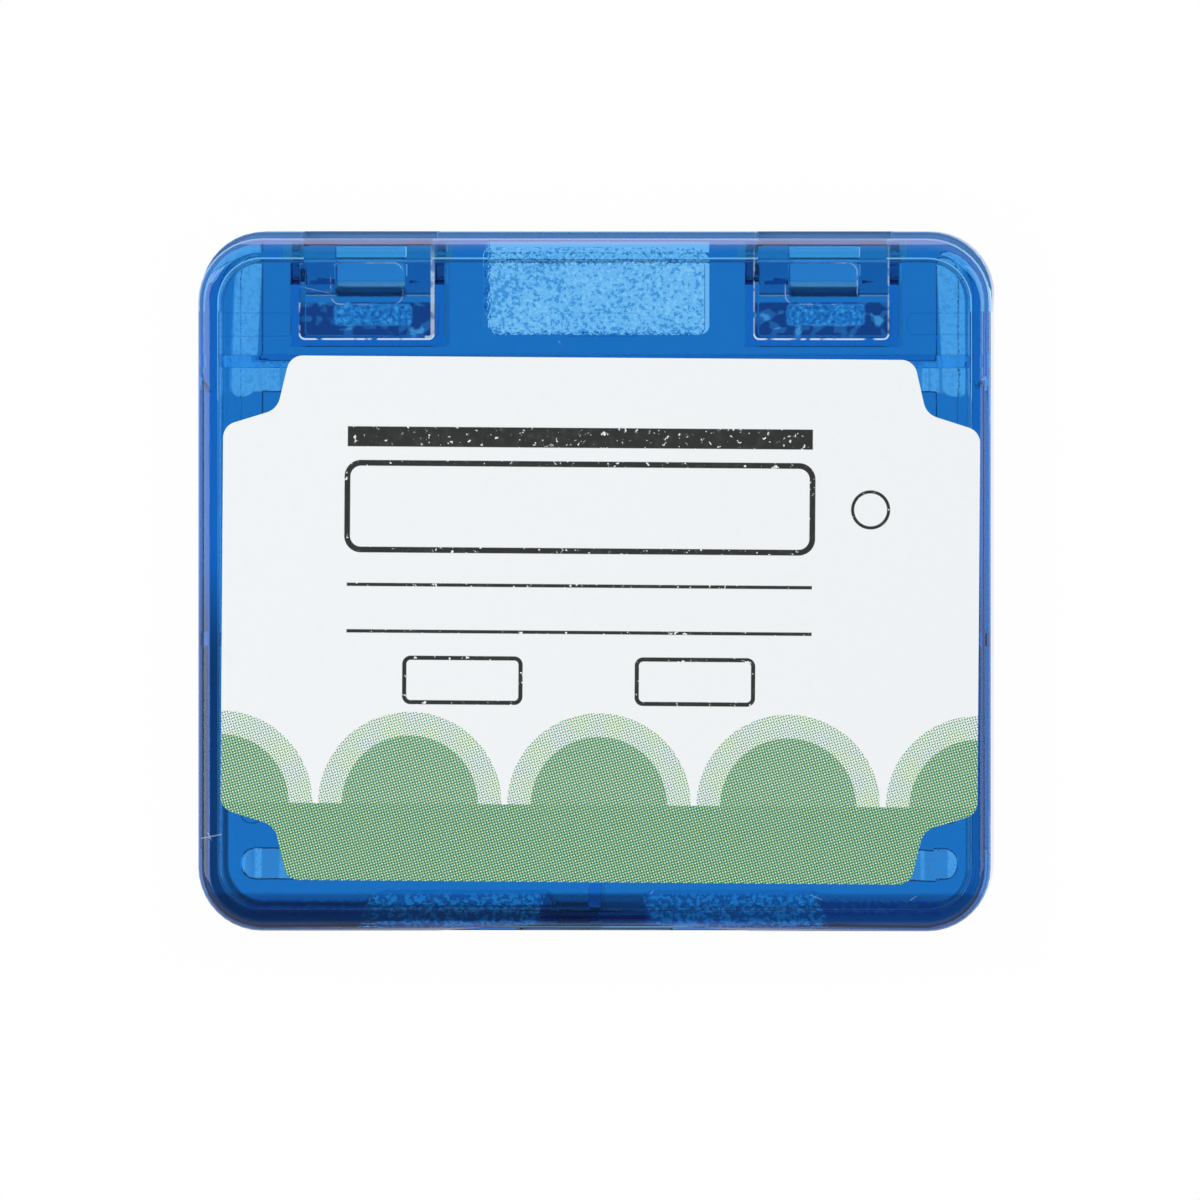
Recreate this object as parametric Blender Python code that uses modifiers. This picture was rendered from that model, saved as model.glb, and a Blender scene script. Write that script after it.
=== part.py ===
"""Hinged, snap-shut case of clear plastic for small dental parts.

Two mouldings and a sticker: a base with four compartments and a hinge well behind them, a lid
that turns on two barrels in walled pockets of that well, and a paper label with stepped corners.
The case lies shut on the XY plane, with its latch at -Y and its hinge at +Y.
"""

import math

import bmesh
import bpy
from mathutils import Matrix, Vector

MM = 0.001

# Overall form
CASE_WIDTH = 75.0 * MM
CASE_DEPTH = 66.1 * MM
CORNER_RADIUS = 6.0 * MM
RIM_HEIGHT = 9.6 * MM            # top of the base's outer wall
LID_TOP = 16.0 * MM
WALL = 1.8 * MM
FLOOR = 1.5 * MM
LID_PLATE = 1.5 * MM
LID_EDGE_ROUND = 1.3 * MM
BASE_EDGE_ROUND = 0.9 * MM

# Fits
FIT = 0.3 * MM                   # between the two mouldings, wherever they meet
HEADROOM = 0.6 * MM              # over the dividers and the pockets, under the lid's plate
REACH = 1.0 * MM                 # how far a cutter stands clear of what it cuts

# Lap joint round the rim
LIP_THICKNESS = 0.8 * MM
LIP_HEIGHT = 1.5 * MM

# Hinge well behind the compartments, with two walled pockets and a window in its floor
WELL_FROM_BACK = 11.65 * MM
POCKET_X = 21.5 * MM
POCKET_WIDTH = 12.8 * MM
POCKET_FROM_BACK = 9.95 * MM
POCKET_WALL = 0.9 * MM
POCKET_TOP_ROUND = 0.3 * MM
WINDOW_WIDTH = 20.9 * MM
WINDOW_FROM_BACK = 9.75 * MM
WINDOW_FROM_WALL = 0.2 * MM
WINDOW_RADIUS = 0.8 * MM

# Hinge
LID_REAR_INSET = 0.6 * MM        # the lid's back stands in front of the base's back
HINGE_FROM_BACK = 3.6 * MM
HINGE_Z = 6.5 * MM
BARREL_RADIUS = 2.6 * MM
PIN_RADIUS = 1.2 * MM
PIN_LENGTH = 1.1 * MM
SKIRT_RAISE = 1.7 * MM           # the skirt is higher behind the hinge, so that it swings clear
RAISE_FROM_HINGE = 3.9 * MM
CORE_WIDTH = 6.7 * MM
CORE_DEPTH = 2.8 * MM
CORE_FRONT = 2.1 * MM
CORE_BACK = 0.9 * MM
CORE_ROUND = 0.8 * MM
CORE_HOLE_SPARE = 0.4 * MM       # the hole in the floor below a barrel is this much longer in front
RELIEF_WIDTH = 7.4 * MM
RELIEF_LENGTH = 2.0 * MM
RELIEF_SINK = 0.5 * MM
RELIEF_RADIUS = 0.4 * MM

# Compartments
DIVIDER = 1.2 * MM
DIVIDER_DROP = 0.4 * MM          # from the rear divider's top to the long one's, and on to the cross one's
CAVITY_EDGE_ROUND = 1.2 * MM

# Underside grooves, where the floor is thin
GROOVE_DEPTH = 0.9 * MM
SIDE_GROOVE_X = 33.05 * MM
SIDE_GROOVE_WIDTH = 2.1 * MM
SIDE_GROOVE_FROM_FRONT = 9.85 * MM
BAND_WIDTH = 2.9 * MM
REAR_BAND_FROM_BACK = 13.75 * MM
FRONT_BAND_FROM_FRONT = 6.05 * MM
FRONT_BAND_REACH = 34.0 * MM
GROOVE_END_ROUND = 0.9           # share of half a groove's width

# Snap latch in front
TONGUE_WIDTH = 14.6 * MM
TONGUE_THICKNESS = 0.7 * MM
TONGUE_FOOT = 4.5 * MM
BEAD_WIDTH = 10.0 * MM
BEAD_HEIGHT = 0.9 * MM
BEAD_PROUD = 0.12 * MM
BEAD_ABOVE_FOOT = 1.2 * MM
CATCH_GROOVE_DEPTH = 0.35 * MM
SCOOP_WIDTH = 29.8 * MM
SCOOP_DEPTH = 0.7 * MM
SCOOP_HEIGHT = 4.0 * MM
NAIL_SCOOP_DEPTH = 0.9 * MM
NAIL_SCOOP_FOOT = 1.4 * MM
PAD_OUTER = 20.9 * MM
PAD_INNER = 4.6 * MM
PAD_SLANT = 1.2 * MM
PAD_THICKNESS = 1.8 * MM
PAD_RADIUS = 0.8 * MM

# Shallow index marks sunk in the lid's top, one set in each corner
MARK_DEPTH = 0.25 * MM
MARK_STROKE = 1.2 * MM
MARK_OUTER_X = 34.6 * MM
MARK_PITCH = 3.3 * MM
MARK_FROM_BACK = 12.15 * MM
MARK_FROM_FRONT = 3.75 * MM
MARK_LENGTH = 4.6 * MM
MARK_STEP = 2.3 * MM

# Label
LABEL_WIDTH = 71.6 * MM
LABEL_DEPTH = 49.6 * MM
LABEL_THICKNESS = 0.2 * MM
LABEL_LIFT = 0.1 * MM
LABEL_X = 0.6 * MM
LABEL_Y = -3.6 * MM
LABEL_TURN_DEG = -0.4
NOTCH_ACROSS = 6.3 * MM
NOTCH_INNER_X = 5.1 * MM
NOTCH_INNER_Y = 5.1 * MM
NOTCH_ALONG = 6.7 * MM
NOTCH_ROUND = 1.5 * MM
NOTCH_INNER_ROUND = 1.8 * MM

# Worked out from the sizes above
SKIRT_FOOT = RIM_HEIGHT + FIT
LID_CEILING = LID_TOP - LID_PLATE
INNER_TOP = LID_CEILING - HEADROOM
LONG_DIVIDER_TOP = INNER_TOP - DIVIDER_DROP
CROSS_DIVIDER_TOP = LONG_DIVIDER_TOP - DIVIDER_DROP
BACK = CASE_DEPTH / 2
FRONT = -CASE_DEPTH / 2
SIDE = CASE_WIDTH / 2
WELL_FRONT = BACK - WELL_FROM_BACK
POCKET_FRONT = BACK - POCKET_FROM_BACK
WINDOW_FRONT = BACK - WINDOW_FROM_BACK
SIDE_GROOVE_FRONT = FRONT + SIDE_GROOVE_FROM_FRONT
REAR_BAND_Y = BACK - REAR_BAND_FROM_BACK
FRONT_BAND_Y = FRONT + FRONT_BAND_FROM_FRONT
MARK_REAR_Y = BACK - MARK_FROM_BACK
MARK_FRONT_Y = FRONT + MARK_FROM_FRONT
LID_BACK = BACK - LID_REAR_INSET
HINGE_Y = BACK - HINGE_FROM_BACK
LAP_INSET = WALL - LIP_THICKNESS
CAVITY_FRONT = FRONT + WALL
CAVITY_BACK = BACK - WALL
REAR_DIVIDER_Y = WELL_FRONT - DIVIDER / 2
MIDDLE_Y = (CAVITY_FRONT + WELL_FRONT - DIVIDER) / 2
CLOSED_GAP_Y = LID_BACK - WALL - FIT
ARM_WIDTH = POCKET_WIDTH - 2 * FIT
ARC_STEP_DEG = 9.0
BARREL_STEPS = 24
HOOP_STEPS = 12
WELD_DISTANCE = 1e-6


def clear_scene():
    for obj in list(bpy.data.objects):
        bpy.data.objects.remove(obj, do_unlink=True)
    for collection in list(bpy.data.collections):
        bpy.data.collections.remove(collection)


def new_collection(name):
    collection = bpy.data.collections.new(name)
    bpy.context.scene.collection.children.link(collection)
    return collection


def filleted(corners, step_deg=ARC_STEP_DEG):
    """An outline whose corners (x, y, radius) are rounded with arcs."""
    points = []
    for i, (x, y, radius) in enumerate(corners):
        here = Vector((x, y))
        if radius <= 0:
            points.append(here)
            continue
        before = (Vector(corners[i - 1][:2]) - here).normalized()
        after = (Vector(corners[(i + 1) % len(corners)][:2]) - here).normalized()
        half = before.angle(after) / 2
        center = here + (before + after).normalized() * (radius / math.sin(half))
        start = here + before * (radius / math.tan(half)) - center
        end = here + after * (radius / math.tan(half)) - center
        sweep = math.atan2(end.y, end.x) - math.atan2(start.y, start.x)
        sweep = (sweep + math.pi) % (2 * math.pi) - math.pi
        steps = max(2, round(abs(math.degrees(sweep)) / step_deg))
        for k in range(steps + 1):
            points.append(center + Matrix.Rotation(sweep * k / steps, 2) @ start)
    return points


def rounded_box(x0, x1, y0, y1, radius):
    return filleted([(x0, y0, radius), (x1, y0, radius), (x1, y1, radius), (x0, y1, radius)])


def stroke(path, width):
    """The outline of a line of one width with round ends, drawn along a path."""
    path = [Vector(p) for p in path]
    reach = width / 2
    sides = []
    for i, here in enumerate(path):
        ahead = (path[min(i + 1, len(path) - 1)] - path[max(i - 1, 0)]).normalized()
        sides.append(Vector((-ahead.y, ahead.x)) * reach)
    cap_steps = round(180 / ARC_STEP_DEG)

    def cap(center, side):
        return [center + Matrix.Rotation(-math.pi * k / cap_steps, 2) @ side for k in range(1, cap_steps)]

    right = [p - s for p, s in zip(path, sides)]
    left = [p + s for p, s in zip(path, sides)]
    far_cap = cap(path[-1], sides[-1])[::-1]
    near_cap = cap(path[0], -sides[0])[::-1]
    return right + far_cap + left[::-1] + near_cap


def extruded(name, outline, low, high, collection, along="Z"):
    """A flat outline extruded from low to high along an axis, as a closed mesh object.

    The outline is drawn in XY for Z, in YZ for X, and in XZ for Y.
    """
    curve = bpy.data.curves.new(name, "CURVE")
    curve.dimensions = "2D"
    curve.fill_mode = "BOTH"
    curve.extrude = (high - low) / 2
    spline = curve.splines.new("POLY")
    spline.points.add(len(outline) - 1)
    for point, place in zip(spline.points, outline):
        point.co = (place[0], place[1], 0.0, 1.0)
    spline.use_cyclic_u = True
    drawn = bpy.data.objects.new(name + "_outline", curve)
    collection.objects.link(drawn)
    middle = (low + high) / 2
    if along == "X":
        drawn.matrix_world = Matrix(((0, 0, 1, middle), (1, 0, 0, 0), (0, 1, 0, 0), (0, 0, 0, 1)))
    elif along == "Y":
        drawn.matrix_world = Matrix(((1, 0, 0, 0), (0, 0, -1, middle), (0, 1, 0, 0), (0, 0, 0, 1)))
    else:
        drawn.matrix_world = Matrix.Translation((0, 0, middle))
    graph = bpy.context.evaluated_depsgraph_get()
    mesh = bpy.data.meshes.new_from_object(drawn.evaluated_get(graph))
    mesh.name = name
    solid = bpy.data.objects.new(name, mesh)
    collection.objects.link(solid)
    solid.matrix_world = drawn.matrix_world
    bpy.data.objects.remove(drawn, do_unlink=True)
    bm = bmesh.new()
    bm.from_mesh(mesh)
    bmesh.ops.remove_doubles(bm, verts=bm.verts, dist=WELD_DISTANCE)
    bmesh.ops.dissolve_limit(bm, angle_limit=math.radians(0.5), verts=bm.verts, edges=bm.edges)
    bmesh.ops.recalc_face_normals(bm, faces=bm.faces)
    bm.to_mesh(mesh)
    bm.free()
    return solid


def round_level(solid, level, width, segments=4):
    """Rounds the edges that lie at one end of an upright extrusion."""
    mesh = solid.data
    local = level - solid.matrix_world.translation.z
    bm = bmesh.new()
    bm.from_mesh(mesh)
    weights = bm.edges.layers.float.new("bevel_weight_edge")
    for edge in bm.edges:
        if all(abs(v.co.z - local) < WELD_DISTANCE for v in edge.verts):
            edge[weights] = 1.0
    bm.to_mesh(mesh)
    bm.free()
    bevel = solid.modifiers.new("rounded_edge", "BEVEL")
    bevel.limit_method = "WEIGHT"
    bevel.width = width
    bevel.segments = segments


def rod(name, center, radius, length, collection, segments=32):
    """A round bar along X."""
    bpy.ops.mesh.primitive_cylinder_add(vertices=segments, radius=radius, depth=length, location=center,
                                        rotation=(0, math.pi / 2, 0))
    return adopt(name, collection)


def drum(name, center, radius, length, collection, segments=360):
    """An upright round bar."""
    bpy.ops.mesh.primitive_cylinder_add(vertices=segments, radius=radius, depth=length, location=center)
    return adopt(name, collection)


def adopt(name, collection):
    solid = bpy.context.active_object
    solid.name = name
    solid.data.name = name
    for other in list(solid.users_collection):
        other.objects.unlink(solid)
    collection.objects.link(solid)
    return solid


def combine(target, tool, operation):
    tool.hide_render = True
    tool.display_type = "WIRE"
    step = target.modifiers.new(tool.name, "BOOLEAN")
    step.operation = operation
    step.solver = "EXACT"
    step.object = tool


def plastic(name, color, roughness, transmission=0.0):
    material = bpy.data.materials.new(name)
    material.use_nodes = True
    shader = material.node_tree.nodes["Principled BSDF"]
    shader.inputs["Base Color"].default_value = (*color, 1.0)
    shader.inputs["Roughness"].default_value = roughness
    shader.inputs["Metallic"].default_value = 0.0
    shader.inputs["Transmission Weight"].default_value = transmission
    material.diffuse_color = (*color, 1.0)
    return material


def add_pockets(base, tools):
    """Two pockets in the well, each with a wall round the hinge arm that stands in it."""
    for side, name in ((-1, "left"), (1, "right")):
        x = side * POCKET_X
        half = POCKET_WIDTH / 2
        front = POCKET_FRONT - POCKET_WALL
        seat = WALL / 3
        profile = filleted([
            (front, FLOOR - seat, 0),
            (CAVITY_BACK + seat, FLOOR - seat, 0),
            (CAVITY_BACK + seat, RIM_HEIGHT - FIT, 0),
            (CLOSED_GAP_Y, RIM_HEIGHT - FIT, 0),
            (CLOSED_GAP_Y, INNER_TOP, POCKET_TOP_ROUND),
            (front, INNER_TOP, POCKET_TOP_ROUND)])
        outside = half + POCKET_WALL
        block = extruded(f"{name}_pocket_block", profile, x - outside, x + outside, tools, along="X")
        combine(base, block, "UNION")
        opening = filleted([
            (x - half, POCKET_FRONT, RELIEF_RADIUS),
            (x + half, POCKET_FRONT, RELIEF_RADIUS),
            (x + half, BACK + REACH, 0),
            (x - half, BACK + REACH, 0)])
        pocket = extruded(f"{name}_pocket", opening, FLOOR, INNER_TOP + REACH, tools)
        combine(base, pocket, "DIFFERENCE")
        relief_front = POCKET_FRONT + RELIEF_LENGTH / 2
        sunk = rounded_box(x - RELIEF_WIDTH / 2, x + RELIEF_WIDTH / 2, relief_front,
                           relief_front + RELIEF_LENGTH, RELIEF_RADIUS)
        relief = extruded(f"{name}_relief", sunk, FLOOR - RELIEF_SINK, FLOOR + REACH, tools)
        combine(base, relief, "DIFFERENCE")
        below_barrel = rounded_box(x - CORE_WIDTH / 2, x + CORE_WIDTH / 2,
                                   HINGE_Y - CORE_FRONT - CORE_HOLE_SPARE, HINGE_Y + CORE_BACK, CORE_ROUND)
        hole = extruded(f"{name}_core_hole", below_barrel, -REACH, FLOOR + REACH, tools)
        combine(base, hole, "DIFFERENCE")
        bore = rod(f"{name}_pin_bore", (x, HINGE_Y, HINGE_Z), PIN_RADIUS + FIT,
                   POCKET_WIDTH + 2 * POCKET_WALL + 2 * FIT, tools)
        combine(base, bore, "DIFFERENCE")


def add_window(base, tools):
    """A window in the floor of the well, between the pockets."""
    half = WINDOW_WIDTH / 2
    back = CAVITY_BACK - WINDOW_FROM_WALL
    window = extruded("window", rounded_box(-half, half, WINDOW_FRONT, back, WINDOW_RADIUS),
                      -REACH, INNER_TOP + REACH, tools)
    combine(base, window, "DIFFERENCE")


def crosswise_wall(name, y, top, tools):
    """A wall from side to side that steps down at its ends to clear the lid's skirt."""
    seat = WALL / 3
    shoulder = RIM_HEIGHT - FIT
    clear = WALL + FIT
    half = SIDE - WALL + seat
    profile = filleted([
        (-half, FLOOR - seat, 0),
        (half, FLOOR - seat, 0),
        (half, shoulder, 0),
        (SIDE - clear, shoulder, 0),
        (SIDE - clear, top, DIVIDER / 2),
        (clear - SIDE, top, DIVIDER / 2),
        (clear - SIDE, shoulder, 0),
        (-half, shoulder, 0)])
    return extruded(name, profile, y - DIVIDER / 2, y + DIVIDER / 2, tools, along="Y")


def add_dividers(base, tools):
    """Two crossed walls make the compartments, and a third shuts them off from the well."""
    seat = WALL / 3
    shoulder = RIM_HEIGHT - FIT
    combine(base, crosswise_wall("rear_divider", REAR_DIVIDER_Y, INNER_TOP, tools), "UNION")
    lengthwise = filleted([
        (CAVITY_FRONT - seat, FLOOR - seat, 0),
        (REAR_DIVIDER_Y, FLOOR - seat, 0),
        (REAR_DIVIDER_Y, LONG_DIVIDER_TOP, 0),
        (FRONT + WALL + FIT, LONG_DIVIDER_TOP, DIVIDER / 2),
        (FRONT + WALL + FIT, shoulder, 0),
        (CAVITY_FRONT - seat, shoulder, 0)])
    combine(base, extruded("long_divider", lengthwise, -DIVIDER / 2, DIVIDER / 2, tools, along="X"), "UNION")
    combine(base, crosswise_wall("cross_divider", MIDDLE_Y, CROSS_DIVIDER_TOP, tools), "UNION")


def add_latch_seat(base, tools):
    """The recess that takes the lid's tongue, its catch groove, the nail scoop and two pads behind it."""
    for side in (-1, 1):
        corners = [(side * PAD_OUTER, CAVITY_FRONT - WALL / 3, 0),
                   (side * (PAD_INNER - PAD_SLANT), CAVITY_FRONT - WALL / 3, 0),
                   (side * PAD_INNER, CAVITY_FRONT + PAD_THICKNESS, PAD_RADIUS),
                   (side * PAD_OUTER, CAVITY_FRONT + PAD_THICKNESS, PAD_RADIUS)]
        pad = extruded(f"pad_{'left' if side < 0 else 'right'}", filleted(corners), FLOOR - WALL / 3,
                       RIM_HEIGHT - FIT, tools)
        combine(base, pad, "UNION")
    recess_depth = TONGUE_THICKNESS + FIT
    half = TONGUE_WIDTH / 2 + FIT
    recess = extruded("tongue_recess",
                      [(-half, FRONT - REACH), (half, FRONT - REACH), (half, FRONT + recess_depth),
                       (-half, FRONT + recess_depth)],
                      TONGUE_FOOT - FIT, RIM_HEIGHT + REACH + LIP_HEIGHT, tools)
    combine(base, recess, "DIFFERENCE")
    groove_foot = TONGUE_FOOT + BEAD_ABOVE_FOOT - FIT
    groove = extruded("catch_groove",
                      [(-BEAD_WIDTH / 2 - FIT, FRONT), (BEAD_WIDTH / 2 + FIT, FRONT),
                       (BEAD_WIDTH / 2 + FIT, FRONT + recess_depth + CATCH_GROOVE_DEPTH),
                       (-BEAD_WIDTH / 2 - FIT, FRONT + recess_depth + CATCH_GROOVE_DEPTH)],
                      groove_foot, groove_foot + BEAD_HEIGHT + 2 * FIT, tools)
    combine(base, groove, "DIFFERENCE")
    combine(base, scoop("nail_scoop", TONGUE_WIDTH, NAIL_SCOOP_DEPTH, NAIL_SCOOP_FOOT, TONGUE_FOOT, tools),
            "DIFFERENCE")


def scoop(name, width, depth, low, high, tools):
    """A drum that takes a shallow bow out of the front: its chord is the width, its sagitta the depth."""
    radius = (width ** 2 / 4 + depth ** 2) / (2 * depth)
    return drum(name, (0, FRONT + depth - radius, (low + high) / 2), radius, high - low, tools)


def add_grooves(base, tools):
    """Grooves in the underside, which leave the floor thin along the sides, the front and the rear."""
    half = SIDE_GROOVE_WIDTH / 2
    side_round = half * GROOVE_END_ROUND
    band_round = BAND_WIDTH / 2 * GROOVE_END_ROUND
    for side, name in ((-1, "left"), (1, "right")):
        x = side * SIDE_GROOVE_X
        groove = extruded(f"{name}_groove",
                          rounded_box(x - half, x + half, SIDE_GROOVE_FRONT, CAVITY_BACK - FIT, side_round),
                          -REACH, GROOVE_DEPTH, tools)
        combine(base, groove, "DIFFERENCE")
    for name, y, reach, radius in (("rear", REAR_BAND_Y, SIDE_GROOVE_X, 0),
                                   ("front", FRONT_BAND_Y, FRONT_BAND_REACH, band_round)):
        band = extruded(f"{name}_band",
                        rounded_box(-reach, reach, y - BAND_WIDTH / 2, y + BAND_WIDTH / 2, radius),
                        -REACH, GROOVE_DEPTH, tools)
        combine(base, band, "DIFFERENCE")


def make_base(parts, tools):
    base = extruded("base", rounded_box(-SIDE, SIDE, FRONT, BACK, CORNER_RADIUS), 0, RIM_HEIGHT, parts)
    round_level(base, 0, BASE_EDGE_ROUND)
    lip = extruded("lip",
                   rounded_box(LAP_INSET - SIDE, SIDE - LAP_INSET, FRONT + LAP_INSET, WELL_FRONT,
                               CORNER_RADIUS - LAP_INSET),
                   FLOOR, RIM_HEIGHT + LIP_HEIGHT, tools)
    combine(base, lip, "UNION")
    cavity = extruded("cavity",
                      rounded_box(WALL - SIDE, SIDE - WALL, CAVITY_FRONT, CAVITY_BACK, CORNER_RADIUS - WALL),
                      FLOOR, RIM_HEIGHT + LIP_HEIGHT + REACH, tools)
    round_level(cavity, FLOOR, CAVITY_EDGE_ROUND, segments=3)
    combine(base, cavity, "DIFFERENCE")
    add_dividers(base, tools)
    add_pockets(base, tools)
    add_window(base, tools)
    add_latch_seat(base, tools)
    add_grooves(base, tools)
    return base


def add_hinge_arms(lid, tools):
    """Two arms that hang from the skirt, end in a cored barrel and carry a stub pin at each side."""
    skirt_in = LID_BACK - WALL
    barrel = []
    for k in range(BARREL_STEPS + 1):
        angle = -1.5 * math.pi * k / BARREL_STEPS
        barrel.append((HINGE_Y + BARREL_RADIUS * math.cos(angle), HINGE_Z + BARREL_RADIUS * math.sin(angle)))
    root = SKIRT_FOOT + SKIRT_RAISE + WALL
    blend = (skirt_in, HINGE_Z + BARREL_RADIUS)
    outline = [(LID_BACK, root), (LID_BACK, HINGE_Z + BARREL_RADIUS / 2)] + barrel + [blend, (skirt_in, root)]
    for side, name in ((-1, "left"), (1, "right")):
        x = side * POCKET_X
        arm = extruded(f"{name}_arm", outline[::-1], x - ARM_WIDTH / 2, x + ARM_WIDTH / 2, tools, along="X")
        combine(lid, arm, "UNION")
        pin = rod(f"{name}_pin", (x, HINGE_Y, HINGE_Z), PIN_RADIUS, ARM_WIDTH + 2 * PIN_LENGTH, tools)
        combine(lid, pin, "UNION")
        core = extruded(f"{name}_core",
                        rounded_box(x - CORE_WIDTH / 2, x + CORE_WIDTH / 2, HINGE_Y - CORE_FRONT,
                                    HINGE_Y + CORE_BACK, CORE_ROUND),
                        HINGE_Z + BARREL_RADIUS - CORE_DEPTH, HINGE_Z + BARREL_RADIUS + REACH, tools)
        combine(lid, core, "DIFFERENCE")


def add_tongue(lid, tools):
    """The snap tongue under the front skirt, with its bead, and the thumb scoop above it."""
    tongue_back = FRONT + TONGUE_THICKNESS
    half = TONGUE_WIDTH / 2
    round_off = TONGUE_THICKNESS
    face = filleted([(-half, TONGUE_FOOT, round_off), (half, TONGUE_FOOT, round_off),
                     (half, SKIRT_FOOT + REACH, 0), (-half, SKIRT_FOOT + REACH, 0)])
    tongue = extruded("tongue", face, FRONT, tongue_back, tools, along="Y")
    combine(lid, tongue, "UNION")
    foot = TONGUE_FOOT + BEAD_ABOVE_FOOT
    bead_profile = [(tongue_back - TONGUE_THICKNESS / 2, foot),
                    (tongue_back, foot),
                    (tongue_back + BEAD_PROUD, foot + BEAD_HEIGHT / 3),
                    (tongue_back + BEAD_PROUD, foot + BEAD_HEIGHT * 2 / 3),
                    (tongue_back, foot + BEAD_HEIGHT),
                    (tongue_back - TONGUE_THICKNESS / 2, foot + BEAD_HEIGHT)]
    bead = extruded("bead", bead_profile, -BEAD_WIDTH / 2, BEAD_WIDTH / 2, tools, along="X")
    combine(lid, bead, "UNION")
    thumb = scoop("thumb_scoop", SCOOP_WIDTH, SCOOP_DEPTH, LID_TOP - SCOOP_HEIGHT, LID_TOP + REACH, tools)
    combine(lid, thumb, "DIFFERENCE")


def corner_marks():
    """Centre lines of the index marks on the +X side: a hoop and a bar at the rear, an angle in front."""
    outer = MARK_OUTER_X
    inner = outer - MARK_PITCH
    bend = MARK_PITCH / 2
    foot = MARK_REAR_Y - MARK_LENGTH + bend
    hoop = [(outer, MARK_REAR_Y)]
    for k in range(HOOP_STEPS + 1):
        angle = -math.pi * k / HOOP_STEPS
        hoop.append((outer - bend + bend * math.cos(angle), foot + bend * math.sin(angle)))
    hoop.append((inner, MARK_REAR_Y))
    bar = [(inner - MARK_STEP, MARK_REAR_Y), (inner - MARK_STEP, MARK_REAR_Y - MARK_LENGTH)]
    front_bar = [(outer, MARK_FRONT_Y + MARK_LENGTH), (outer, MARK_FRONT_Y)]
    foot_bar = [(outer - MARK_STEP, MARK_FRONT_Y), (outer - MARK_STEP - MARK_LENGTH, MARK_FRONT_Y)]
    return {"hoop": hoop, "bar": bar, "front_bar": front_bar, "foot_bar": foot_bar}


def add_marks(lid, tools):
    for side, name in ((-1, "left"), (1, "right")):
        for mark, path in corner_marks().items():
            placed = [(side * x, y) for x, y in path]
            cut = extruded(f"{name}_{mark}", stroke(placed, MARK_STROKE), LID_TOP - MARK_DEPTH,
                           LID_TOP + REACH, tools)
            combine(lid, cut, "DIFFERENCE")


def make_lid(parts, tools):
    lid = extruded("lid", rounded_box(-SIDE, SIDE, FRONT, LID_BACK, CORNER_RADIUS), SKIRT_FOOT, LID_TOP,
                   parts)
    round_level(lid, LID_TOP, LID_EDGE_ROUND)
    cavity = extruded("lid_cavity",
                      rounded_box(WALL - SIDE, SIDE - WALL, FRONT + WALL, LID_BACK - WALL,
                                  CORNER_RADIUS - WALL),
                      SKIRT_FOOT - REACH, LID_CEILING, tools)
    round_level(cavity, LID_CEILING, LID_EDGE_ROUND / 2, segments=2)
    combine(lid, cavity, "DIFFERENCE")
    lap = LAP_INSET - FIT
    rebate = extruded("lap_rebate",
                      rounded_box(lap - SIDE, SIDE - lap, FRONT + lap, WELL_FRONT + FIT, CORNER_RADIUS - lap),
                      SKIRT_FOOT - REACH, RIM_HEIGHT + LIP_HEIGHT + FIT, tools)
    combine(lid, rebate, "DIFFERENCE")
    raised_from = HINGE_Y - RAISE_FROM_HINGE
    raised = extruded("skirt_raise",
                      [(-SIDE - REACH, raised_from), (SIDE + REACH, raised_from), (SIDE + REACH, BACK),
                       (-SIDE - REACH, BACK)],
                      SKIRT_FOOT - REACH, SKIRT_FOOT + SKIRT_RAISE, tools)
    combine(lid, raised, "DIFFERENCE")
    add_hinge_arms(lid, tools)
    add_tongue(lid, tools)
    add_marks(lid, tools)
    return lid


def label_outline():
    """A rectangle whose four corners step inwards, with every turn rounded."""
    half_x = LABEL_WIDTH / 2
    half_y = LABEL_DEPTH / 2
    step = [(half_x, half_y - NOTCH_ALONG, NOTCH_ROUND),
            (half_x - NOTCH_INNER_X, half_y - NOTCH_INNER_Y, NOTCH_INNER_ROUND),
            (half_x - NOTCH_ACROSS, half_y, NOTCH_ROUND)]
    corners = []
    for sx, sy in ((1, 1), (-1, 1), (-1, -1), (1, -1)):
        turned = step if sx * sy > 0 else step[::-1]
        corners += [(sx * x, sy * y, r) for x, y, r in turned]
    turn = Matrix.Rotation(math.radians(LABEL_TURN_DEG), 2)
    return [turn @ point + Vector((LABEL_X, LABEL_Y)) for point in filleted(corners, step_deg=10)]


def make_label(parts):
    foot = LID_TOP + LABEL_LIFT
    return extruded("label", label_outline(), foot, foot + LABEL_THICKNESS, parts)


def hang_on_hinge(pieces, collection):
    """The lid and its label turn about an empty on the pins' axis."""
    hinge = bpy.data.objects.new("lid_hinge", None)
    hinge.location = (0, HINGE_Y, HINGE_Z)
    hinge.empty_display_size = CASE_WIDTH / 4
    collection.objects.link(hinge)
    bpy.context.view_layer.update()
    for piece in pieces:
        piece.parent = hinge
        piece.matrix_parent_inverse = hinge.matrix_world.inverted()


def main():
    clear_scene()
    parts = new_collection("buccal_tube_case")
    tools = new_collection("cutters_and_guides")
    base = make_base(parts, tools)
    lid = make_lid(parts, tools)
    label = make_label(parts)
    base.data.materials.append(plastic("base_blue", (0.05, 0.28, 0.62), 0.12, transmission=0.9))
    lid.data.materials.append(plastic("lid_blue", (0.10, 0.38, 0.74), 0.08, transmission=0.9))
    label.data.materials.append(plastic("label_paper", (0.90, 0.92, 0.92), 0.55))
    hang_on_hinge((lid, label), parts)
    for obj in parts.objects:
        if obj.type == "MESH":
            obj.data.shade_smooth()
            obj.data.set_sharp_from_angle(angle=math.radians(30))


main()
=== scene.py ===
import math
import bmesh
import bpy
from mathutils import Matrix, Vector


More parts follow.
